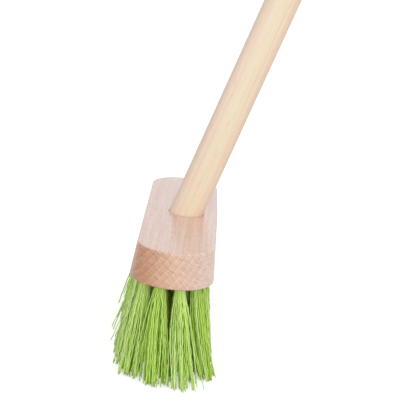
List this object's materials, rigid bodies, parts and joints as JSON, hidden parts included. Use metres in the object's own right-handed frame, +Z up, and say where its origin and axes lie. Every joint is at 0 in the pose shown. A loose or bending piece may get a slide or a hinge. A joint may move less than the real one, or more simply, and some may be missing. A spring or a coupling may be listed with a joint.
{
  "type": "childrens broom",
  "caption": "Small floor broom: a wooden head with half-round ends, tufts of stiff green bristle in drilled holes, and a round wooden handle that leans out of the top.",
  "frame": {"origin": "the middle of the sweeping face, under the centre of the head, where the trimmed bristle tips end", "axes": "+Z up from the sweeping face, Y along the head, X across the head, with the handle leaning towards +X by 17.2 degrees from vertical"},
  "size_m": [0.2594, 0.2091, 0.7912],
  "materials": {
    "head_wood": "sanded and waxed beech, satin, end grain showing on the round ends",
    "handle_wood": "pale straight-grained dowel, turned, sanded and clear waxed",
    "bristle": "leaf-green stiff fibre with a soft gloss along each strand, ends trimmed"
  },
  "bodies": {
    "root": {"handle": "handle_wood", "head": "head_wood", "tuft_1_01": "bristle", "tuft_1_02": "bristle", "tuft_1_03": "bristle", "tuft_1_04": "bristle", "tuft_1_05": "bristle", "tuft_1_06": "bristle", "tuft_1_07": "bristle", "tuft_1_08": "bristle", "tuft_1_09": "bristle", "tuft_1_10": "bristle", "tuft_1_11": "bristle", "tuft_1_12": "bristle", "tuft_2_01": "bristle", "tuft_2_02": "bristle", "tuft_2_03": "bristle", "tuft_2_04": "bristle", "tuft_2_05": "bristle", "tuft_2_06": "bristle", "tuft_2_07": "bristle", "tuft_2_08": "bristle", "tuft_2_09": "bristle", "tuft_2_10": "bristle", "tuft_2_11": "bristle", "tuft_2_12": "bristle", "tuft_2_13": "bristle", "tuft_3_01": "bristle", "tuft_3_02": "bristle", "tuft_3_03": "bristle", "tuft_3_04": "bristle", "tuft_3_05": "bristle", "tuft_3_06": "bristle", "tuft_3_07": "bristle", "tuft_3_08": "bristle", "tuft_3_09": "bristle", "tuft_3_10": "bristle", "tuft_3_11": "bristle", "tuft_3_12": "bristle", "tuft_3_13": "bristle", "tuft_4_01": "bristle", "tuft_4_02": "bristle", "tuft_4_03": "bristle", "tuft_4_04": "bristle", "tuft_4_05": "bristle", "tuft_4_06": "bristle", "tuft_4_07": "bristle", "tuft_4_08": "bristle", "tuft_4_09": "bristle", "tuft_4_10": "bristle", "tuft_4_11": "bristle", "tuft_4_12": "bristle"}
  },
  "joints": []
}
